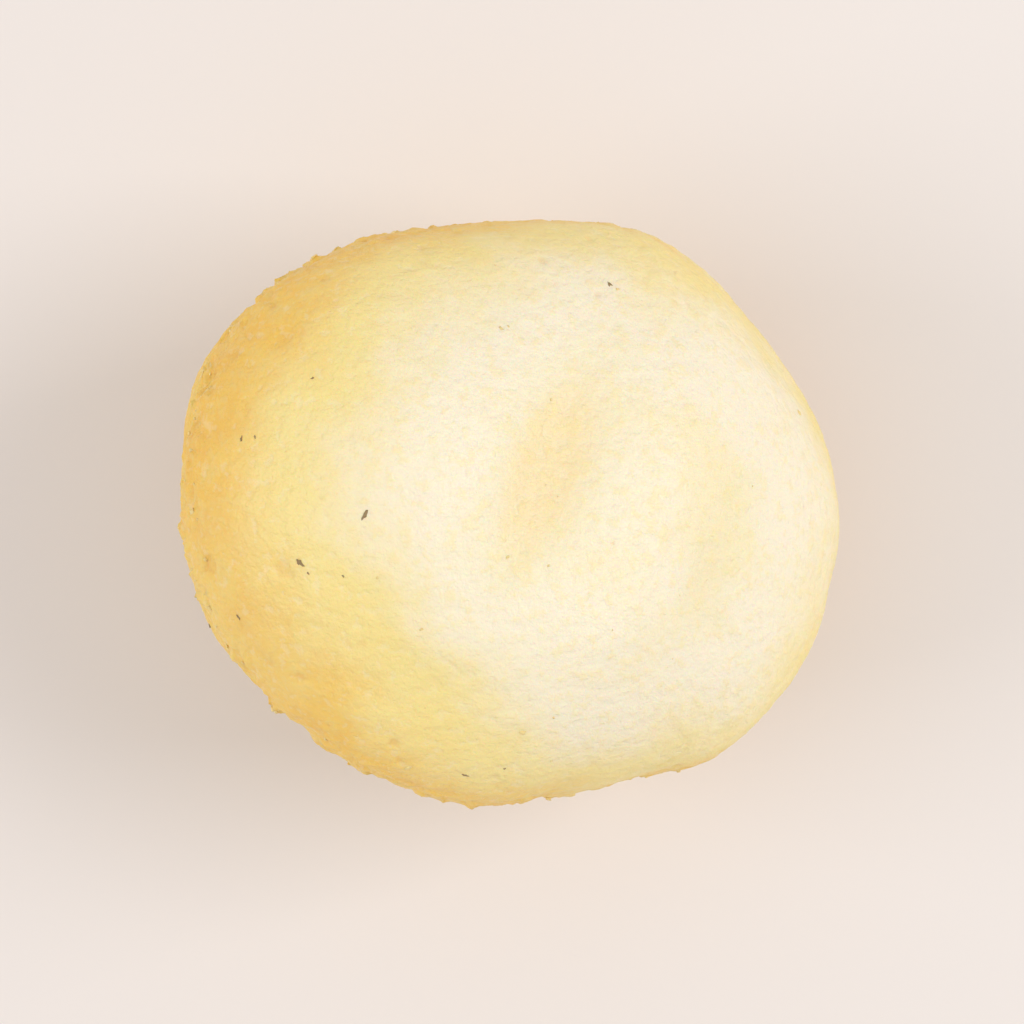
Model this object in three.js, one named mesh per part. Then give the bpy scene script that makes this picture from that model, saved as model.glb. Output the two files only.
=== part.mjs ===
// One whole macadamia kernel, shelled, as it lies on a table. Millimetres, +Z up. The origin is at the
// bottom centre of its box, and +X runs along the longest way across it.
//
// A kernel is a single grown piece. The crown half is a full, smooth dome with a shallow trough where the
// two seed leaves meet. The base half is duller and a little narrower, with a waist under the crown's rim,
// and ends in the small tip that holds the embryo. The rim is low, rounded and chipped. The kernel lies
// leaning, on the flank of its base half, with the crown turned up and to one side.
import * as THREE from "three";
import { mergeVertices } from "three/addons/utils/BufferGeometryUtils.js";

// Overall size, in millimetres
const LENGTH = 21.8;
const WIDTH = 19.2;
const HEIGHT = 17.8;

// How it lies: the crown leans from upright by this many degrees, towards this bearing (from +X towards +Y)
const LEAN_DEG = 24;
const LEAN_BEARING_DEG = 10;

// Half sizes of the kernel along its own axes, and how full each half is: 2 is an ellipsoid, more is fuller
const HALF_LENGTH = 11.2;
const HALF_WIDTH = 9.8;
const CROWN_RISE = 8.3;
const BASE_DEPTH = 8.7;
const CROWN_FULLNESS = 2.25;
const BASE_FULLNESS = 2.0;
const MEAN_RADIUS = (HALF_LENGTH + HALF_WIDTH) / 2;

// Sides pressed flat by the shell: each is a plane at a distance from the centre, facing a bearing and an
// elevation
const FLAT_SHARPNESS = 22;
const FLATS = [
  { bearing: 92, elevation: 5, distance: 9.35 },
  { bearing: 34, elevation: 8, distance: 9.95 },
  { bearing: 238, elevation: 0, distance: 9.75 },
];

// The rim between the halves: its height, its place over the kernel's middle, and its spread each way
const RIM_HEIGHT = 0.3;
const RIM_LATITUDE = 1.2;
const RIM_SPREAD_UP = 2.8;
const RIM_SPREAD_DOWN = 1.15;
const RIM_CHIPS = { count: 26, narrowest: 0.55, widest: 1.5, shallowest: 0.15, deepest: 0.8, seed: 7 };

// The waist under the rim: it is deepest at a bearing round the crown's axis, and nearly gone opposite
const WAIST_DEPTH = 0.42;
const WAIST_LATITUDE = -2.6;
const WAIST_SPREAD = 2.6;
const WAIST_BEARING_DEG = 200;
const WAIST_ONE_SIDEDNESS = 0.6;

// The embryo's tip, with a dimple round it
const TIP_HEIGHT = 0.55;
const TIP_WIDTH = 1.15;
const TIP_DIMPLE = 0.24;
const TIP_DIMPLE_WIDTH = 3.0;

// Swells and hollows of the crown, as ovals seen from above: middle, bearing of the long way, half sizes
// and height. The first is the trough between the seed leaves.
const CROWN_RELIEF = [
  { at: [1.6, 1.4], bearing: 66, half: [4.2, 1.7], height: -0.52 },
  { at: [-2.7, 1.3], bearing: 80, half: [3.6, 2.7], height: 0.34 },
  { at: [5.8, 1.6], bearing: 70, half: [3.4, 1.9], height: 0.36 },
  { at: [3.6, -3.6], bearing: 20, half: [3.2, 2.2], height: 0.26 },
  { at: [6.9, -2.6], bearing: 60, half: [1.9, 1.1], height: -0.2 },
  { at: [-2.2, -4.9], bearing: 150, half: [3.0, 1.7], height: -0.22 },
  { at: [-5.6, 4.4], bearing: 45, half: [2.6, 1.9], height: 0.12 },
];

// Swells and hollows of the flanks: bearing and elevation of the middle, half sizes along and up, height
const FLANK_RELIEF = [
  { from: [152, 4], half: [3.0, 3.6], height: 0.72 },
  { from: [322, 2], half: [3.6, 4.0], height: 0.34 },
  { from: [288, 0], half: [3.0, 4.0], height: -0.52 },
  { from: [205, 6], half: [3.6, 3.0], height: 0.25 },
  { from: [60, -32], half: [4.0, 1.6], height: -0.22 },
  { from: [265, -38], half: [4.6, 1.5], height: -0.2 },
  { from: [170, -40], half: [3.4, 1.8], height: 0.18 },
  { from: [186, -80], half: [4.2, 3.4], height: 0.45 },
  { from: [2, -58], half: [5.0, 3.0], height: -0.3 },
];

// Slow unevenness all over, as waves across the kernel in directions drawn at random
const LUMPS = { count: 9, height: 0.045, slowest: 2.5, fastest: 6.5, seed: 11 };

// The small flat spot that it rests on is this far above where the round base would reach
const FOOT_RISE = 0.34;

// Each edge of the twenty-sided start is cut into this many
const EDGE_CUTS = 21;

const COLOUR = "#f7e4b4";
const ROUGHNESS = 0.55;

const { degToRad, lerp } = THREE.MathUtils;

// The same draws from 0 to 1 on every run
function drawer(seed) {
  let state = seed;
  return () => {
    state = (state + 0x6d2b79f5) | 0;
    let mixed = Math.imul(state ^ (state >>> 15), 1 | state);
    mixed = (mixed + Math.imul(mixed ^ (mixed >>> 7), 61 | mixed)) ^ mixed;
    return ((mixed ^ (mixed >>> 14)) >>> 0) / 4294967296;
  };
}

// A smooth bump of height 1 that has nearly gone at twice its width
function bell(distance, width) {
  return Math.exp(-((distance / width) ** 2));
}

function facing(bearing, elevation) {
  const across = Math.cos(degToRad(elevation));
  return new THREE.Vector3(
    across * Math.cos(degToRad(bearing)),
    across * Math.sin(degToRad(bearing)),
    Math.sin(degToRad(elevation)),
  );
}

// The way from the centre to the point of the crown that is seen at x, y from above
function seenAt([x, y]) {
  const share = (x / HALF_LENGTH) ** 2 + (y / HALF_WIDTH) ** 2;
  return new THREE.Vector3(x, y, CROWN_RISE * Math.sqrt(1 - share)).normalize();
}

// An oval swell or hollow on the surface, with its long way along a level bearing
function oval(middle, bearing, half, height) {
  const along = facing(bearing, 0).projectOnPlane(middle).normalize();
  return { middle, along, aside: new THREE.Vector3().crossVectors(middle, along), half, height };
}

function ovalHeight(way, { middle, along, aside, half, height }) {
  if (way.dot(middle) < 0) return 0;
  const [lengthways, sideways] = [along, aside].map((axis) => MEAN_RADIUS * Math.asin(way.dot(axis)));
  return height * bell(lengthways, half[0]) * bell(sideways, half[1]);
}

const ovals = [
  ...CROWN_RELIEF.map(({ at, bearing, half, height }) => oval(seenAt(at), bearing, half, height)),
  ...FLANK_RELIEF.map(({ from, half, height }) => oval(facing(...from), from[0] + 90, half, height)),
];

// The kernel's own axes: through the crown, along its longest way across, and across that
const crownAxis = facing(LEAN_BEARING_DEG, 90 - LEAN_DEG);
const lengthAxis = new THREE.Vector3(1, 0, 0).projectOnPlane(crownAxis).normalize();
const widthAxis = new THREE.Vector3().crossVectors(crownAxis, lengthAxis);

// The plain form: an egg of two halves that differ in depth and fullness
function plainRadius(way) {
  const height = way.dot(crownAxis);
  const across = Math.hypot(way.dot(lengthAxis) / HALF_LENGTH, way.dot(widthAxis) / HALF_WIDTH);
  const depth = height > 0 ? CROWN_RISE : BASE_DEPTH;
  const fullness = height > 0 ? CROWN_FULLNESS : BASE_FULLNESS;
  return (across ** fullness + Math.abs(height / depth) ** fullness) ** (-1 / fullness);
}

// The radius where it would pass the pressed sides, rounded over at their edges
function pressedRadius(way) {
  let sum = plainRadius(way) ** -FLAT_SHARPNESS;
  for (const flat of FLATS) {
    const towards = way.dot(facing(flat.bearing, flat.elevation));
    if (towards > 0) sum += (flat.distance / towards) ** -FLAT_SHARPNESS;
  }
  return sum ** (-1 / FLAT_SHARPNESS);
}

// Chips in the rim: a bearing round the crown's axis, a width, and a depth as a share of the rim's height
function rimChips() {
  const draw = drawer(RIM_CHIPS.seed);
  return Array.from({ length: RIM_CHIPS.count }, () => ({
    bearing: 2 * Math.PI * draw(),
    width: lerp(RIM_CHIPS.narrowest, RIM_CHIPS.widest, draw()),
    depth: lerp(RIM_CHIPS.shallowest, RIM_CHIPS.deepest, draw() ** 2),
  }));
}

const chips = rimChips();

// What is left of the rim at a bearing, from 0 where a chip has taken it to 1
function rimLeft(bearing) {
  return chips.reduce((left, chip) => {
    const turn = Math.abs(bearing - chip.bearing) % (2 * Math.PI);
    const distance = MEAN_RADIUS * Math.min(turn, 2 * Math.PI - turn);
    return left * (1 - chip.depth * bell(distance, chip.width));
  }, 1);
}

function rimHeight(latitude, bearing) {
  const over = latitude - RIM_LATITUDE;
  return RIM_HEIGHT * bell(over, over > 0 ? RIM_SPREAD_UP : RIM_SPREAD_DOWN) * rimLeft(bearing);
}

function waistDepth(latitude, bearing) {
  const side = Math.cos(bearing - degToRad(WAIST_BEARING_DEG));
  const depth = WAIST_DEPTH * (1 + WAIST_ONE_SIDEDNESS * side);
  return depth * bell(latitude - WAIST_LATITUDE, WAIST_SPREAD);
}

function rimAndWaist(way) {
  const latitude = MEAN_RADIUS * Math.asin(way.dot(crownAxis));
  const bearing = Math.atan2(way.dot(widthAxis), way.dot(lengthAxis));
  return rimHeight(latitude, bearing) - waistDepth(latitude, bearing);
}

function embryoTip(way) {
  const distance = MEAN_RADIUS * (Math.PI - way.angleTo(crownAxis));
  return TIP_HEIGHT * bell(distance, TIP_WIDTH) - TIP_DIMPLE * bell(distance, TIP_DIMPLE_WIDTH);
}

function lumpWaves() {
  const draw = drawer(LUMPS.seed);
  return Array.from({ length: LUMPS.count }, () => ({
    way: facing(360 * draw(), (180 * Math.asin(2 * draw() - 1)) / Math.PI),
    rate: lerp(LUMPS.slowest, LUMPS.fastest, draw()),
    phase: 2 * Math.PI * draw(),
  }));
}

const lumps = lumpWaves();

function unevenness(way) {
  const waves = lumps.map((lump) => LUMPS.height * Math.cos(lump.rate * way.dot(lump.way) + lump.phase));
  const swells = ovals.map((shape) => ovalHeight(way, shape));
  return [...waves, ...swells].reduce((sum, height) => sum + height, 0);
}

function surfaceRadius(way) {
  return pressedRadius(way) + rimAndWaist(way) + embryoTip(way) + unevenness(way);
}

// The kernel's surface round its centre, from an even ball of small triangles
function shapedBody() {
  const ball = new THREE.IcosahedronGeometry(1, EDGE_CUTS - 1);
  ball.deleteAttribute("normal");
  ball.deleteAttribute("uv");
  const body = mergeVertices(ball);
  const place = body.getAttribute("position");
  const way = new THREE.Vector3();
  for (let i = 0; i < place.count; i++) {
    way.fromBufferAttribute(place, i).normalize();
    place.setXYZ(i, ...way.multiplyScalar(surfaceRadius(way)));
  }
  return body;
}

// Points that would sink into the table are lifted onto it, which leaves the flat spot
function flattenFoot(body) {
  body.computeBoundingBox();
  const table = body.boundingBox.min.z + FOOT_RISE;
  const place = body.getAttribute("position");
  for (let i = 0; i < place.count; i++) {
    place.setZ(i, Math.max(place.getZ(i), table));
  }
}

// The body's box takes the stated size exactly, and its bottom centre comes to the origin
function fitToSize(body) {
  body.computeBoundingBox();
  const size = body.boundingBox.getSize(new THREE.Vector3());
  const centre = body.boundingBox.getCenter(new THREE.Vector3());
  body.translate(-centre.x, -centre.y, -body.boundingBox.min.z);
  body.scale(LENGTH / size.x, WIDTH / size.y, HEIGHT / size.z);
}

function kernel() {
  const body = shapedBody();
  flattenFoot(body);
  fitToSize(body);
  body.computeVertexNormals();
  const flesh = new THREE.MeshStandardMaterial({ color: COLOUR, roughness: ROUGHNESS, metalness: 0 });
  const mesh = new THREE.Mesh(body, flesh);
  mesh.name = "kernel";
  return mesh;
}

const part = new THREE.Group();
part.add(kernel());

export default part;
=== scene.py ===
"""A whole raw macadamia kernel, shelled: its flesh, what sticks to it, and the plain stage that it lies on.

Laid out as a Blender add-on. The kernel's form comes from the solid in the frame. What is too fine for the
solid, such as the torn edge of the crown's skin, grain, pits and veins, is added to it here. Lengths in the
relief are in millimetres, from the kernel's own middle, and everything in Blender is in metres.
"""
import math

import bmesh
import bpy
import numpy as np
from bpy.props import FloatProperty, FloatVectorProperty, IntProperty, PointerProperty
from mathutils import Matrix, Vector, noise
from mathutils.bvhtree import BVHTree


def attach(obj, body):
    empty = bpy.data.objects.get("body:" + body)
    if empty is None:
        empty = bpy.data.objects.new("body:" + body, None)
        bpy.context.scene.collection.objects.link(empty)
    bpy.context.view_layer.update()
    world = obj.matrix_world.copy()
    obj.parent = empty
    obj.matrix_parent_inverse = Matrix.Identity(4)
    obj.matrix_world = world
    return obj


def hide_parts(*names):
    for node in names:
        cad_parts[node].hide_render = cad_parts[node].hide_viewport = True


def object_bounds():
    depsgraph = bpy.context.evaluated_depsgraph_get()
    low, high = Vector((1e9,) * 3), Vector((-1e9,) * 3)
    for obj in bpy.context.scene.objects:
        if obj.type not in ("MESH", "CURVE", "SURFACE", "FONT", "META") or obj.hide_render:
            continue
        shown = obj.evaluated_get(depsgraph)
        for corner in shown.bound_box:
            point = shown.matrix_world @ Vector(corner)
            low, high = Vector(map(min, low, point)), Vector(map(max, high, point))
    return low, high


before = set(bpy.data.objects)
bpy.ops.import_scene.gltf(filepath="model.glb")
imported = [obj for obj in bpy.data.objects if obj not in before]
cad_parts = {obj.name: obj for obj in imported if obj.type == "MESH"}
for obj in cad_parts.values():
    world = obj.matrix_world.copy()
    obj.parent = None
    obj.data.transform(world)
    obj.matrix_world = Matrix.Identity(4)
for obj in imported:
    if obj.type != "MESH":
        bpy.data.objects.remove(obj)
solid_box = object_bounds()

bl_info = {
    "name": "Macadamia kernel",
    "version": (1, 0, 0),
    "blender": (4, 5, 0),
    "location": "3D View > Sidebar > Macadamia",
    "description": "Dresses the solid of a shelled macadamia kernel and sets it on a plain stage",
    "category": "Object",
}

MM = 0.001
NODE = "kernel"
BODY = "root"

# How the kernel lies: its crown leans from upright by this many degrees, towards this bearing
LEAN_DEG = 24
LEAN_BEARING_DEG = 10

# The kernel's mean radius in millimetres, which turns angles into lengths over its surface
MEAN_RADIUS = 10.3


def linear(hex_colour):
    """An sRGB hex value as linear red, green and blue."""
    channels = [int(hex_colour[i : i + 2], 16) / 255 for i in (1, 3, 5)]
    return [c / 12.92 if c <= 0.04045 else ((c + 0.055) / 1.055) ** 2.4 for c in channels]


def opaque(colour):
    """A colour with full alpha, as sockets take it."""
    return (*colour, 1.0)


def bell(distance, width):
    """A smooth bump of height 1 that has nearly gone at twice its width."""
    return np.exp(-((distance / width) ** 2))


def ramp(values, low, high):
    """0 below low, 1 above high, and a smooth rise between."""
    share = np.clip((values - low) / (high - low), 0, 1)
    return share * share * (3 - 2 * share)


def facing(bearing_deg, elevation_deg):
    """The way of length 1 at this bearing from +X and this elevation over level."""
    bearing, elevation = math.radians(bearing_deg), math.radians(elevation_deg)
    level = math.cos(elevation)
    return np.array([level * math.cos(bearing), level * math.sin(bearing), math.sin(elevation)])


def noise_over(points, size, octaves=2):
    """Smooth noise round 0 at each point, with lumps about this size."""
    return np.array([noise.fractal(Vector(p), 1.0, 2.0, octaves) for p in points / size])


def grains_over(points, size):
    """Grains about this size that meet in sharp furrows: 1 at their tops, and down to 0 between them."""
    return np.array([1 - min(noise.voronoi(Vector(p))[0][0], 1) for p in points / size])


class FleshSettings(bpy.types.PropertyGroup):
    """The kernel's own flesh: its colours and how fine and deep its relief is."""

    grid_cuts: IntProperty(
        name="Grid cuts",
        description="Cuts across each side of the cube that the surface grid starts from",
        default=126,
        min=8,
        max=126,
    )
    crown_colour: FloatVectorProperty(
        name="Crown",
        description="The top of the dome, which lay against the polished side of the shell",
        subtype="COLOR",
        default=linear("#fef1d6"),
    )
    middle_colour: FloatVectorProperty(
        name="Middle",
        description="The dome lower down, and the soft clouds and freckles higher up",
        subtype="COLOR",
        default=linear("#fde598"),
    )
    base_colour: FloatVectorProperty(
        name="Base",
        description="The straw-coloured lower half",
        subtype="COLOR",
        default=linear("#fccd60"),
    )
    foot_colour: FloatVectorProperty(
        name="Foot",
        description="The paler flesh towards the tip of the lower half",
        subtype="COLOR",
        default=linear("#f9dea4"),
    )
    base_tint: FloatVectorProperty(
        name="Base tint",
        description="Deeper mottles of the lower half",
        subtype="COLOR",
        default=linear("#f0b956"),
    )
    # Painted shade: a darker yellow for dents and troughs, where less light falls
    hollow_shade_colour: FloatVectorProperty(
        name="Hollows",
        description="The flesh in dents and troughs, where more oil shows",
        subtype="COLOR",
        default=linear("#fce4b0"),
    )
    # Olive rubs where the mottles lie, and painted shade, a faint olive grey, in dents
    smudge_and_hollow_shade_colour: FloatVectorProperty(
        name="Smudges",
        description="Faint olive rubs on the skin",
        subtype="COLOR",
        default=linear("#e8de9c"),
    )
    # Painted shade: a darker orange inside pits, furrows and the seam
    pit_shade_colour: FloatVectorProperty(
        name="Pits",
        description="The flesh inside pits and furrows",
        subtype="COLOR",
        default=linear("#e8b45c"),
    )
    skin_edge: FloatProperty(
        name="Skin edge",
        description="Height of the step where the crown's smooth skin ends",
        unit="LENGTH",
        default=0.13 * MM,
        precision=5,
    )
    base_grain: FloatProperty(
        name="Base grain",
        description="Height of the grain over the lower half",
        unit="LENGTH",
        default=0.06 * MM,
        precision=5,
    )
    rim_crumble: FloatProperty(
        name="Rim crumble",
        description="Height of the torn flesh along the rim",
        unit="LENGTH",
        default=0.26 * MM,
        precision=5,
    )


class CrumbSettings(bpy.types.PropertyGroup):
    """The crumbs that stick to the rim."""

    count: IntProperty(name="Crumbs", description="How many crumbs there are", default=520, min=0, max=2000)
    smallest: FloatProperty(
        name="Smallest",
        description="Radius of the smallest crumb",
        unit="LENGTH",
        default=0.03 * MM,
        precision=5,
    )
    largest: FloatProperty(
        name="Largest",
        description="Radius of the largest crumb",
        unit="LENGTH",
        default=0.13 * MM,
        precision=5,
    )
    colour: FloatVectorProperty(
        name="Crumb colour",
        description="Freshly broken flesh, a little paler than the skin",
        subtype="COLOR",
        default=linear("#fde4a8"),
    )


class FleckSettings(bpy.types.PropertyGroup):
    """The dark flecks of shell lining stuck in the flesh."""

    count: IntProperty(
        name="Loose flecks",
        description="How many flecks lie at drawn places, besides the ones with a place of their own",
        default=16,
        min=0,
        max=200,
    )
    colour: FloatVectorProperty(
        name="Fleck colour",
        description="Dry brown shell lining",
        subtype="COLOR",
        default=linear("#86704c"),
    )


class StageSettings(bpy.types.PropertyGroup):
    """What the kernel lies on, and the camera."""

    table_colour: FloatVectorProperty(
        name="Table",
        description="The pale matte surface under the kernel",
        subtype="COLOR",
        default=linear("#efe8e4"),
    )
    view_width: FloatProperty(
        name="View width",
        description="Width of what the camera sees at the kernel's middle",
        unit="LENGTH",
        default=34 * MM,
    )
    lens: FloatProperty(
        name="Lens",
        description="Focal length: a long one, as the photograph was taken from well above",
        default=200,
        subtype="DISTANCE_CAMERA",
    )


# Shape of the flesh

# What the flesh's colours, bumps and roughness go by, kept on each point of its mesh
FLESH_MASKS = ("crown", "foot", "skin", "hollow", "pit")

CROWN_AXIS = facing(LEAN_BEARING_DEG, 90 - LEAN_DEG)

# Lengths from here to the seam's bearing are in millimetres

# Lumps of the three noises that the relief and the masks share
SOFT_LUMP = 2.4
COARSE_LUMP = 1.0
FINE_LUMP = 0.45

# Their heights in the relief, where the fine one is on the crown's skin alone
SOFT_HEIGHT = 0.04
COARSE_HEIGHT = 0.02
FINE_HEIGHT = 0.03

# The crown's skin ends this far over the surface above the middle plane, in a step of this width
SKIN_EDGE_LATITUDE = 0.35
SKIN_STEP = 0.2

# How far the torn flesh reaches from the skin's edge, up the crown and down the base
TORN_UP = 1.3
TORN_DOWN = 0.8

# Grains of the torn flesh and of the base
TORN_GRAIN = 0.6
BASE_GRAIN = 0.5

# Width of a vein, and the share of its real length that the noise is read over, which draws it out
VEIN_WIDTH = 0.75
VEIN_SHARE = 0.16

# Pits in the crown and in the base: how many, least and largest radius, depth of the deepest, and their draw
CROWN_PITS = 150
CROWN_PIT_RADII = (0.12, 0.32)
CROWN_PIT_DEPTH = 0.06
CROWN_PIT_SEED = 3
BASE_PITS = 260
BASE_PIT_RADII = (0.15, 0.5)
BASE_PIT_DEPTH = 0.08
BASE_PIT_SEED = 4

# Lumps that make a pit's outline uneven
PIT_LUMP = 0.35

# Width and depth of the seam where the seed leaves meet
SEAM_WIDTH = 0.16
SEAM_DEPTH = 0.07

# A dent of this depth has the full painted shade of a hollow
HOLLOW_DEPTH = 0.35

# Heights over the middle plane where the crown's colour starts and is full, and depths below it for the foot.
# The fade is partly the flesh's own cream crown and straw base, and partly painted shade that yellows the
# dome's sides
CROWN_FADE = (-0.5, 9.5)
FOOT_FADE = (0.5, 6.5)

# Painted light and shade: flesh at the +X end, where the light falls, is as pale as flesh this much higher,
# and flesh at the other end, in painted shade, is as yellow as flesh this much lower
LIT_SIDE_PALER_BY = 1.6

# Yellower clouds in the crown, seen from above: place from the middle, size, and how much lower on the crown
# their colour is found elsewhere. They are partly the flesh's own tone and partly painted shade along the
# sides
YELLOW_CLOUDS = [
    ((-3.4, -4.4), 2.7, 1.5),
    ((-5.6, 5.2), 2.4, 1.0),
    ((0.2, -5.0), 2.4, 1.3),
    ((5.2, 6.2), 2.6, 2.0),
    ((0.4, 7.6), 2.2, 0.8),
]

# The seed leaves meet in a plane through the crown's axis, which shows from above along this bearing
SUTURE_BEARING_DEG = 66


def coordinates(mesh):
    """The places of a mesh's points, one row each."""
    flat = np.empty(len(mesh.vertices) * 3, np.float32)
    mesh.vertices.foreach_get("co", flat)
    return flat.reshape(-1, 3).astype(float)


def place(mesh, points):
    """Moves a mesh's points to these places."""
    mesh.vertices.foreach_set("co", points.astype(np.float32).ravel())
    mesh.update()


def middle_of_solid():
    """The solid's centre of volume in millimetres, which is the middle that the surface is measured from."""
    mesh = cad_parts[NODE].data
    mesh.calc_loop_triangles()
    corners = (coordinates(mesh) / MM)[np.array([t.vertices for t in mesh.loop_triangles])]
    volumes = np.einsum("ij,ij->i", corners[:, 0], np.cross(corners[:, 1], corners[:, 2])) / 6
    return (corners.sum(1) / 4 * volumes[:, None]).sum(0) / volumes.sum()


def radii_of_solid(ways, middle):
    """How far the solid's surface lies from its middle along each way, in millimetres."""
    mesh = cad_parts[NODE].data
    surface = BVHTree.FromPolygons([v.co / MM for v in mesh.vertices], [p.vertices[:] for p in mesh.polygons])
    return np.array([surface.ray_cast(Vector(middle), Vector(way))[3] for way in ways])


def gridded_ball(cuts):
    """A mesh of even squares over a unit ball: a cube, cut into a grid and swelled."""
    grid = bmesh.new()
    bmesh.ops.create_cube(grid, size=2)
    bmesh.ops.subdivide_edges(grid, edges=grid.edges[:], cuts=cuts, use_grid_fill=True)
    mesh = bpy.data.meshes.new("kernel_flesh")
    grid.to_mesh(mesh)
    grid.free()
    ways = np.tan(coordinates(mesh) * math.pi / 4)
    place(mesh, ways / np.linalg.norm(ways, axis=1)[:, None])
    return mesh


def evened(mesh, values, rounds):
    """Values over the mesh's points, each point taking its neighbours' average in each round."""
    pairs = np.array([e.vertices[:] for e in mesh.edges])
    starts, ends = np.concatenate([pairs, pairs[:, ::-1]]).T
    counts = np.bincount(starts, minlength=len(values))
    for _ in range(rounds):
        values = np.bincount(starts, values[ends], len(values)) / counts
    return values


def latitudes(ways):
    """Millimetres over the surface from the plane between the halves, towards the crown."""
    return MEAN_RADIUS * np.arcsin(np.clip(ways @ CROWN_AXIS, -1, 1))


def suture_distances(ways):
    """Millimetres over the surface from the line where the seed leaves meet."""
    across = np.cross(CROWN_AXIS, facing(SUTURE_BEARING_DEG, 0))
    return MEAN_RADIUS * np.arcsin(ways @ (across / np.linalg.norm(across)))


def veins(ways, height):
    """Noise drawn out into streaks that run from the rim to the tip."""
    across = ways - (ways @ CROWN_AXIS)[:, None] * CROWN_AXIS
    around = across / np.maximum(np.linalg.norm(across, axis=1), 0.05)[:, None]
    return noise_over(MEAN_RADIUS * around + VEIN_SHARE * height[:, None] * CROWN_AXIS, VEIN_WIDTH, 3)


def pitted(ways, points, count, radii, seed, weights):
    """How deep uneven pits reach at each point, from 0 to 1. More of them lie where weights are high."""
    draw = np.random.default_rng(seed)
    uneven = 1 + 0.7 * noise_over(points + seed, PIT_LUMP)
    depth = np.zeros(len(ways))
    for middle in draw.choice(len(ways), count, replace=False, p=weights / weights.sum()):
        radius = draw.uniform(*radii)
        apart = MEAN_RADIUS * np.linalg.norm(ways - ways[middle], axis=1) * uneven
        depth = np.maximum(depth, draw.uniform(0.3, 1) * (1 - ramp(apart, 0.3 * radius, radius)))
    return depth


def flesh_relief(settings, ways, points, radii, broad_radii):
    """The fine relief in millimetres along each way, and the masks that colour it."""
    height = latitudes(ways)
    soft = noise_over(points + 37, SOFT_LUMP)
    coarse = noise_over(points + 23, COARSE_LUMP, 3)
    fine = noise_over(points + 11, FINE_LUMP)

    # The ragged line where the crown's smooth skin ends, and the patchy torn flesh on both sides of it
    above_edge = height - SKIN_EDGE_LATITUDE + 0.6 * soft + 0.55 * coarse + 0.2 * fine
    skin = ramp(above_edge, -SKIN_STEP / 2, SKIN_STEP / 2)
    reach = np.where(above_edge > 0, TORN_UP, TORN_DOWN)
    rim = bell(above_edge, reach) * np.clip(0.75 + 1.5 * coarse, 0.1, 1)
    torn = grains_over(points, TORN_GRAIN) - 0.5 + 0.6 * fine

    # The lower half's grain and veins, and the seam of the seed leaves, which fades on the crown
    grain = 0.6 * (grains_over(points + 5, BASE_GRAIN) - 0.5) + 0.5 * fine + 0.7 * veins(ways, height)
    seam = bell(suture_distances(ways) + 0.3 * soft, SEAM_WIDTH) * (0.2 + 0.8 * ramp(-height, -4, 3))

    # Most of the crown's pits lie low on it, and most of the base's lie along the rim
    low_on_crown = skin * ramp(-height, -9, 1) + 0.03
    crown_pits = pitted(ways, points, CROWN_PITS, CROWN_PIT_RADII, CROWN_PIT_SEED, low_on_crown)
    rim_and_base = 0.4 * (1 - skin) + rim + 0.01
    base_pits = pitted(ways, points, BASE_PITS, BASE_PIT_RADII, BASE_PIT_SEED, rim_and_base)

    relief = settings.skin_edge / MM * skin
    relief += settings.rim_crumble / MM * torn * rim
    relief += settings.base_grain / MM * grain * (1 - skin) * (1 - rim)
    relief += SOFT_HEIGHT * soft + COARSE_HEIGHT * coarse + FINE_HEIGHT * fine * skin
    relief -= CROWN_PIT_DEPTH * crown_pits + BASE_PIT_DEPTH * base_pits + SEAM_DEPTH * seam

    # Painted light and shade: the crown is palest towards +X, where the light falls, and yellower towards −X.
    # It is yellower too in a few clouds, which are partly its own tone and partly painted shade
    paler = LIT_SIDE_PALER_BY * ways[:, 0] - sum(
        depth * bell(np.linalg.norm(points[:, :2] - seen, axis=1), size) * (points[:, 2] > 0)
        for seen, size, depth in YELLOW_CLOUDS
    )

    masks = {
        # The crown's own cream over its straw base, with painted shade that yellows the dome's sides and its
        # −X end
        "crown": ramp(height + 0.9 * soft + 0.4 * coarse + paler, *CROWN_FADE),
        "foot": ramp(0.9 * soft - height, *FOOT_FADE),
        "skin": skin,
        "rim": rim,
        # Painted shade in dents, deepest in the broad trough
        "hollow": np.clip((broad_radii - radii) / HOLLOW_DEPTH, 0, 1),
        # Painted shade in pits and along the seam, less on torn flesh
        "pit": np.clip(0.8 * np.maximum(crown_pits, base_pits) + 0.5 * seam - 0.9 * rim * torn, 0, 1),
    }
    return relief, masks


def flesh_mesh(settings):
    """The solid's form with the fine relief over it and its masks on it."""
    mesh = gridded_ball(settings.grid_cuts)
    ways = coordinates(mesh)
    middle = middle_of_solid()

    # A few rounds take the facets away. Many take the dents too, so the difference shows where the dents are
    radii = evened(mesh, radii_of_solid(ways, middle), rounds=24)
    broad_radii = evened(mesh, radii, rounds=420)
    relief, masks = flesh_relief(settings, ways, ways * radii[:, None], radii, broad_radii)

    # Nothing reaches below the plane that the kernel rests on
    points = ways * (radii + relief)[:, None] + middle
    points[:, 2] = np.maximum(points[:, 2], 0)
    place(mesh, points * MM)
    for name, values in masks.items():
        attribute = mesh.attributes.new(name, "FLOAT", "POINT")
        attribute.data.foreach_set("value", values.astype(np.float32))
    mesh.shade_smooth()
    return mesh


# What sticks to the flesh

# Lumps lie only on flesh that is at least this high, so that none reaches below the plane of rest
LUMP_CLEARANCE = 0.5 * MM

# How far lumps tip from lying flat, as a spread in radians, and how large their jags are against their radius
LUMP_TIP = 0.25
JAG_SIZE = 0.8

# Weights for the draw of places away from the rim, where the rim has 1
CRUMBS_ELSEWHERE = 0.002
FLECKS_ELSEWHERE = 0.12

# A crumb's three radii against its size, at least and at most
CRUMB_LEAST = (0.7, 0.6, 0.4)
CRUMB_MOST = (1.4, 1.0, 0.7)

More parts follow.
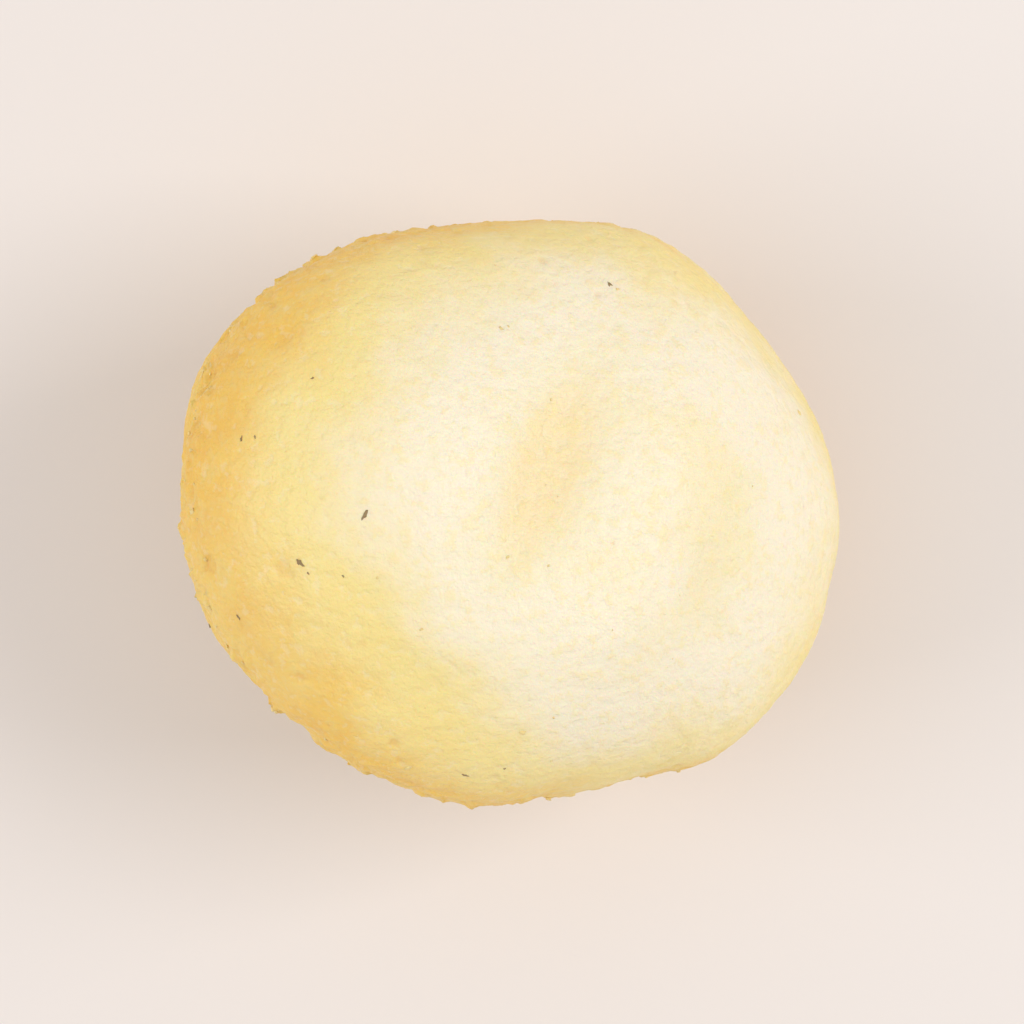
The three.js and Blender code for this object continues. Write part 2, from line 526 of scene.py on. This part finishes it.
# Half a fleck's width, at least and at most, and half its thickness, against its length
FLECK_HALF_WIDTHS = (0.22, 0.4)
FLECK_HALF_THICKNESS = 0.12

# Lengths of the flecks at drawn places, in millimetres
LOOSE_FLECK_LENGTHS = (0.1, 0.3)

# Flesh above this height, in millimetres, is on the kernel's upper side
UPPER_SIDE = 6


def mask_of(flesh, name):
    """A mask's value at each point of the flesh."""
    values = np.empty(len(flesh.vertices), np.float32)
    flesh.attributes[name].data.foreach_get("value", values)
    return values.astype(float)


def clear_below(flesh):
    """1 where a lump on the flesh has room below it, and 0 where it would reach under the plane of rest."""
    return (coordinates(flesh)[:, 2] > LUMP_CLEARANCE).astype(float)


def stick_on(lumps, vertex, radii, sunk, jag, draw):
    """Adds a jagged lump that lies flat on the flesh, its middle sunk by this share of its upright radius."""
    seat = Matrix.Translation(vertex.co - vertex.normal * sunk * radii[2])
    upright = vertex.normal.to_track_quat("Z", "Y").to_matrix().to_4x4()
    turn = Matrix.Rotation(draw.uniform(0, math.tau), 4, "Z")
    tip = Matrix.Rotation(draw.normal(0, LUMP_TIP), 4, "X")
    shape = seat @ upright @ turn @ tip @ Matrix.Diagonal((*radii, 1))
    start = Vector(draw.uniform(-9, 9, 3))
    for corner in bmesh.ops.create_icosphere(lumps, subdivisions=2, radius=1, matrix=shape)["verts"]:
        out = corner.co - vertex.co
        corner.co += out * jag * noise.noise(start + out / (JAG_SIZE * min(radii[:2])))


def crumb_mesh(settings, flesh):
    """Small rough lumps of flesh, partly sunk, at points drawn along the rim."""
    weights = (mask_of(flesh, "rim") ** 3 + CRUMBS_ELSEWHERE) * clear_below(flesh)
    draw = np.random.default_rng(21)
    lumps = bmesh.new()
    for index in draw.choice(len(weights), settings.count, replace=False, p=weights / weights.sum()):
        size = settings.smallest + (settings.largest - settings.smallest) * draw.random() ** 3
        radii = size * draw.uniform(CRUMB_LEAST, CRUMB_MOST)
        stick_on(lumps, flesh.vertices[int(index)], radii, sunk=0.3, jag=0.9, draw=draw)
    return finished(lumps, "rim_crumbs")


# Flecks with a place of their own, seen from above: place from the box's middle, and length, in millimetres
PLACED_FLECKS = [
    ((-4.6, -0.1), 0.36),
    ((-6.75, -1.6), 0.28),
    ((-6.5, -1.95), 0.14),
    ((-8.7, 2.3), 0.2),
    ((-8.2, 2.45), 0.14),
    ((-6.35, 4.3), 0.16),
    ((-3.9, 8.85), 0.3),
    ((-3.25, 9.0), 0.26),
    ((-6.8, 7.55), 0.24),
    ((-1.5, -8.5), 0.2),
]


def nearest_from_above(flesh, seen):
    """The vertex of the flesh's upper side that lies nearest to this place, as seen from above."""
    points = coordinates(flesh) / MM
    apart = np.linalg.norm(points[:, :2] - seen, axis=1)
    apart[points[:, 2] < UPPER_SIDE] = math.inf
    return flesh.vertices[int(apart.argmin())]


def fleck_mesh(settings, flesh):
    """Thin dark slivers pressed into the flesh."""
    draw = np.random.default_rng(8)
    weights = (mask_of(flesh, "rim") + FLECKS_ELSEWHERE) * clear_below(flesh)
    spots = [(nearest_from_above(flesh, seen), length) for seen, length in PLACED_FLECKS]
    for index in draw.choice(len(weights), settings.count, replace=False, p=weights / weights.sum()):
        spots.append((flesh.vertices[int(index)], draw.uniform(*LOOSE_FLECK_LENGTHS)))
    slivers = bmesh.new()
    for vertex, length in spots:
        radii = np.array([0.5, draw.uniform(*FLECK_HALF_WIDTHS), FLECK_HALF_THICKNESS]) * length * MM
        stick_on(slivers, vertex, radii, sunk=0.35, jag=1.1, draw=draw)
    return finished(slivers, "shell_flecks")


def finished(lumps, name):
    """The lumps as a smooth mesh of this name."""
    mesh = bpy.data.meshes.new(name)
    lumps.to_mesh(mesh)
    lumps.free()
    mesh.shade_smooth()
    return mesh


# Materials


def add(tree, kind, settings=None, inputs=None):
    """Adds a node, sets its properties, and sets or links its inputs, which go by name or by number."""
    made = tree.nodes.new(kind)
    for name, value in (settings or {}).items():
        setattr(made, name, value)
    for name, value in (inputs or {}).items():
        if isinstance(value, bpy.types.NodeSocket):
            tree.links.new(value, made.inputs[name])
        else:
            made.inputs[name].default_value = value
    return made


def blank_material(name):
    """A new material of this name, and its node tree, which is empty."""
    material = bpy.data.materials.new(name)
    material.use_nodes = True
    material.node_tree.nodes.clear()
    return material, material.node_tree


# Raw macadamia flesh: oily, fine and slightly see-through, like firm wax. The crown grew against the shell's
# polished lining, so it is smooth and pale with a soft gloss; the base grew against its rough side, so it is
# matte, straw-coloured and grained. Light that enters comes out warmer, which deepens the colour in hollows.
FLESH_IOR = 1.47
CROWN_ROUGHNESS = 0.44
BASE_ROUGHNESS = 0.62
GLOW_SHARE = 0.3
GLOW_DEPTH_MM = 0.5

# Noise patterns: size in millimetres, detail and roughness
FLESH_NOISES = {
    "clouds": (5.5, 2, 0.5),
    "mottles": (1.5, 4, 0.62),
    "grain": (0.42, 3, 0.62),
    "pores": (0.14, 1, 0.5),
}


def raw_flesh(settings):
    material, tree = blank_material("raw_macadamia_flesh_waxy")
    place_m = add(tree, "ShaderNodeTexCoord").outputs["Object"]
    fields = {}
    for name in FLESH_MASKS:
        fields[name] = add(tree, "ShaderNodeAttribute", {"attribute_name": name}).outputs["Fac"]
    for name, (size_mm, detail, roughness) in FLESH_NOISES.items():
        inputs = {"Vector": place_m, "Scale": 1 / (size_mm * MM), "Detail": detail, "Roughness": roughness}
        fields[name] = add(tree, "ShaderNodeTexNoise", None, inputs).outputs[0]

    # Coats of colour, one over the other: the field, its values where the coat starts and is full, the most
    # that it covers, and its colour
    coats = [
        ("foot", 0.00, 1.00, 0.75, settings.foot_colour),
        ("mottles", 0.42, 0.68, 0.40, settings.base_tint),
        ("grain", 0.50, 0.68, 0.35, settings.base_tint),
        ("crown", 0.00, 0.45, 1.00, settings.middle_colour),
        ("crown", 0.40, 1.00, 1.00, settings.crown_colour),
        ("clouds", 0.46, 0.68, 0.30, settings.middle_colour),
        ("mottles", 0.46, 0.30, 0.22, settings.smudge_and_hollow_shade_colour),
        # Painted shade: a faint olive grey in the dents
        ("hollow", 0.10, 0.60, 0.20, settings.smudge_and_hollow_shade_colour),
        # Painted shade in dents and the trough
        ("hollow", 0.40, 1.00, 0.80, settings.hollow_shade_colour),
        ("grain", 0.50, 0.66, 0.30, settings.middle_colour),
        ("grain", 0.46, 0.34, 0.20, settings.crown_colour),
        # Painted shade in pits and along the seam
        ("pit", 0.20, 1.00, 0.30, settings.pit_shade_colour),
    ]
    flesh = opaque(settings.base_colour)
    for name, start, full, most, colour in coats:
        inputs = {"Value": fields[name], "From Min": start, "From Max": full, "To Max": most}
        share = add(tree, "ShaderNodeMapRange", {"interpolation_type": "SMOOTHSTEP"}, inputs).outputs[0]
        tones = {0: share, 6: flesh, 7: opaque(colour)}
        flesh = add(tree, "ShaderNodeMix", {"data_type": "RGBA"}, tones).outputs[2]

    # Relief too fine for the mesh: each field's height in millimetres on the base, and on the crown's skin
    height_mm = 0.0
    for name, on_base, on_skin in [("grain", 0.20, 0.12), ("pores", 0.04, 0.025)]:
        inputs = {"Value": fields["skin"], "To Min": on_base, "To Max": on_skin}
        reach = add(tree, "ShaderNodeMapRange", None, inputs).outputs[0]
        inputs = {0: fields[name], 1: reach, 2: height_mm}
        height_mm = add(tree, "ShaderNodeMath", {"operation": "MULTIPLY_ADD"}, inputs).outputs[0]
    bump = add(tree, "ShaderNodeBump", None, {"Distance": MM, "Height": height_mm})

    inputs = {"Value": fields["skin"], "To Min": BASE_ROUGHNESS, "To Max": CROWN_ROUGHNESS}
    roughness = add(tree, "ShaderNodeMapRange", None, inputs).outputs[0]
    inputs = {
        "Base Color": flesh,
        "Roughness": roughness,
        "IOR": FLESH_IOR,
        "Normal": bump.outputs[0],
        "Subsurface Weight": GLOW_SHARE,
        "Subsurface Radius": (1.0, 0.55, 0.22),
        "Subsurface Scale": GLOW_DEPTH_MM * MM,
    }
    shader = add(tree, "ShaderNodeBsdfPrincipled", {"subsurface_method": "RANDOM_WALK"}, inputs)
    add(tree, "ShaderNodeOutputMaterial", None, {"Surface": shader.outputs[0]})
    return material


# Freshly broken flesh: dry crumbs, paler and rougher than the skin, so they catch the light as specks
CRUMB_MOTTLE_MM = 0.3
CRUMB_GLOW_DEPTH_MM = 0.3
CRUMB_OTHER_TONE = "#f6ce7c"


def broken_flesh(settings):
    material, tree = blank_material("broken_macadamia_flesh_dry")
    place_m = add(tree, "ShaderNodeTexCoord").outputs["Object"]
    pattern = {"Vector": place_m, "Scale": 1 / (CRUMB_MOTTLE_MM * MM), "Detail": 2}
    grain = add(tree, "ShaderNodeTexNoise", None, pattern).outputs[0]
    tones = {0: grain, 6: opaque(settings.colour), 7: opaque(linear(CRUMB_OTHER_TONE))}
    tone = add(tree, "ShaderNodeMix", {"data_type": "RGBA"}, tones).outputs[2]
    bump = add(tree, "ShaderNodeBump", None, {"Strength": 0.4, "Distance": 0.02 * MM, "Height": grain})
    inputs = {
        "Base Color": tone,
        "Roughness": 0.7,
        "IOR": FLESH_IOR,
        "Normal": bump.outputs[0],
        "Subsurface Weight": GLOW_SHARE,
        "Subsurface Radius": (1.0, 0.6, 0.3),
        "Subsurface Scale": CRUMB_GLOW_DEPTH_MM * MM,
    }
    shader = add(tree, "ShaderNodeBsdfPrincipled", None, inputs)
    add(tree, "ShaderNodeOutputMaterial", None, {"Surface": shader.outputs[0]})
    return material


# Dry lining of the shell, torn off in slivers: matte brown, with specks of lighter fibre
FIBRE_MM = 0.08
FIBRE_COLOUR = "#a98f66"


def shell_lining(settings):
    material, tree = blank_material("dry_shell_lining_torn")
    place_m = add(tree, "ShaderNodeTexCoord").outputs["Object"]
    pattern = {"Vector": place_m, "Scale": 1 / (FIBRE_MM * MM), "Detail": 2}
    fibre = add(tree, "ShaderNodeTexNoise", None, pattern).outputs[0]
    tones = {0: fibre, 6: opaque(settings.colour), 7: opaque(linear(FIBRE_COLOUR))}
    tone = add(tree, "ShaderNodeMix", {"data_type": "RGBA"}, tones).outputs[2]
    shader = add(tree, "ShaderNodeBsdfPrincipled", None, {"Base Color": tone, "Roughness": 0.75, "IOR": 1.53})
    add(tree, "ShaderNodeOutputMaterial", None, {"Surface": shader.outputs[0]})
    return material


# Matte off-white paint under the kernel, with a very faint unevenness so that it isn't one flat tone
TABLE_CLOUD_MM = 60


def painted_table(settings):
    material, tree = blank_material("painted_table_matte")
    place_m = add(tree, "ShaderNodeTexCoord").outputs["Object"]
    pattern = {"Vector": place_m, "Scale": 1 / (TABLE_CLOUD_MM * MM), "Detail": 2}
    cloud = add(tree, "ShaderNodeTexNoise", None, pattern).outputs[0]
    darker = [0.97 * c for c in settings.table_colour]
    tones = {0: cloud, 6: opaque(settings.table_colour), 7: opaque(darker)}
    tone = add(tree, "ShaderNodeMix", {"data_type": "RGBA"}, tones).outputs[2]
    shader = add(tree, "ShaderNodeBsdfPrincipled", None, {"Base Color": tone, "Roughness": 0.7})
    add(tree, "ShaderNodeOutputMaterial", None, {"Surface": shader.outputs[0]})
    return material


# Pieces


def new_object(name, mesh, material):
    """An object of this mesh in this material, in the scene."""
    made = bpy.data.objects.new(name, mesh)
    bpy.context.scene.collection.objects.link(made)
    mesh.materials.append(material)
    return made


class MACADAMIA_OT_flesh(bpy.types.Operator):
    """Make the kernel's finished flesh over its solid"""

    bl_idname = "macadamia.flesh"
    bl_label = "Flesh"

    def execute(self, context):
        settings = context.scene.macadamia_flesh
        kernel = new_object("kernel_flesh", flesh_mesh(settings), raw_flesh(settings))
        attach(kernel, BODY)
        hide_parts(NODE)
        return {"FINISHED"}


class MACADAMIA_OT_crumbs(bpy.types.Operator):
    """Stick small crumbs of broken flesh to the kernel's rim"""

    bl_idname = "macadamia.crumbs"
    bl_label = "Rim crumbs"

    def execute(self, context):
        settings = context.scene.macadamia_crumbs
        mesh = crumb_mesh(settings, bpy.data.objects["kernel_flesh"].data)
        crumbs = new_object("rim_crumbs", mesh, broken_flesh(settings))
        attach(crumbs, BODY)
        return {"FINISHED"}


class MACADAMIA_OT_flecks(bpy.types.Operator):
    """Press slivers of the shell's dark lining into the flesh"""

    bl_idname = "macadamia.flecks"
    bl_label = "Shell flecks"

    def execute(self, context):
        settings = context.scene.macadamia_flecks
        mesh = fleck_mesh(settings, bpy.data.objects["kernel_flesh"].data)
        flecks = new_object("shell_flecks", mesh, shell_lining(settings))
        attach(flecks, BODY)
        return {"FINISHED"}


# Stage

# The surface under the kernel reaches this far on each side, and is this much lower so that no faces coincide
TABLE_HALF = 2.5
TABLE_GAP = 0.01 * MM

SKY_COLOUR = "#f8f5f3"
SKY_STRENGTH = 0.68


def box_middle():
    """The middle of the solid's box."""
    return (Vector(solid_box[0]) + Vector(solid_box[1])) / 2


def table(settings):
    """The wide flat surface that the kernel lies on."""
    grid = bmesh.new()
    bmesh.ops.create_grid(grid, x_segments=1, y_segments=1, size=TABLE_HALF)
    mesh = bpy.data.meshes.new("table")
    grid.to_mesh(mesh)
    grid.free()
    top = new_object("table", mesh, painted_table(settings))
    top.location.z = -TABLE_GAP


def softbox(name, size, watts, bearing_deg, elevation_deg, distance):
    """A soft square light that faces the kernel's middle."""
    light = bpy.data.lights.new(name, "AREA")
    light.shape = "SQUARE"
    light.size = size
    light.energy = watts
    lamp = bpy.data.objects.new(name, light)
    bpy.context.scene.collection.objects.link(lamp)
    way = Vector(facing(bearing_deg, elevation_deg))
    lamp.location = box_middle() + way * distance
    lamp.rotation_euler = way.to_track_quat("Z", "Y").to_euler()


def daylight():
    """An even pale sky, which lights the sides and is the backdrop of low views."""
    world = bpy.data.worlds.new("daylight")
    world.use_nodes = True
    world.node_tree.nodes.clear()
    inputs = {"Color": opaque(linear(SKY_COLOUR)), "Strength": SKY_STRENGTH}
    sky = add(world.node_tree, "ShaderNodeBackground", None, inputs)
    add(world.node_tree, "ShaderNodeOutputWorld", None, {"Surface": sky.outputs[0]})
    bpy.context.scene.world = world


def camera(settings):
    """Straight above, as in the photograph, with +X to the right."""
    eye = bpy.data.cameras.new("camera")
    eye.lens = settings.lens
    eye.clip_start = 0.005
    eye.clip_end = 10
    holder = bpy.data.objects.new("camera", eye)
    bpy.context.scene.collection.objects.link(holder)
    holder.location = box_middle() + Vector((0, 0, settings.view_width * settings.lens / eye.sensor_width))
    bpy.context.scene.camera = holder


class MACADAMIA_OT_stage(bpy.types.Operator):
    """Set what the kernel lies on, the sky, the soft lights and the camera"""

    bl_idname = "macadamia.stage"
    bl_label = "Stage"

    def execute(self, context):
        settings = context.scene.macadamia_stage
        table(settings)
        daylight()
        softbox("softbox_right", size=0.18, watts=0.5, bearing_deg=8, elevation_deg=46, distance=0.36)
        softbox("softbox_left", size=0.22, watts=0.42, bearing_deg=186, elevation_deg=36, distance=0.40)
        camera(settings)
        context.scene.view_settings.view_transform = "Standard"
        return {"FINISHED"}


# Each operator with its settings, and the scene property that holds them, in the order that the operators run
PIECES = [
    (MACADAMIA_OT_flesh, FleshSettings, "macadamia_flesh"),
    (MACADAMIA_OT_crumbs, CrumbSettings, "macadamia_crumbs"),
    (MACADAMIA_OT_flecks, FleckSettings, "macadamia_flecks"),
    (MACADAMIA_OT_stage, StageSettings, "macadamia_stage"),
]


class MACADAMIA_PT_pieces(bpy.types.Panel):
    """The kernel's pieces and their settings"""

    bl_idname = "MACADAMIA_PT_pieces"
    bl_label = "Macadamia kernel"
    bl_space_type = "VIEW_3D"
    bl_region_type = "UI"
    bl_category = "Macadamia"

    def draw(self, context):
        for operator, group, name in PIECES:
            box = self.layout.box()
            for setting in group.__annotations__:
                box.prop(getattr(context.scene, name), setting)
            box.operator(operator.bl_idname)


def register():
    for operator, group, name in PIECES:
        bpy.utils.register_class(group)
        bpy.utils.register_class(operator)
        setattr(bpy.types.Scene, name, PointerProperty(type=group))
    bpy.utils.register_class(MACADAMIA_PT_pieces)


def unregister():
    bpy.utils.unregister_class(MACADAMIA_PT_pieces)
    for operator, group, name in reversed(PIECES):
        delattr(bpy.types.Scene, name)
        bpy.utils.unregister_class(operator)
        bpy.utils.unregister_class(group)


def main():
    register()
    bpy.ops.macadamia.flesh()
    bpy.ops.macadamia.crumbs()
    bpy.ops.macadamia.flecks()
    bpy.ops.macadamia.stage()


if __name__ == "__main__":
    main()
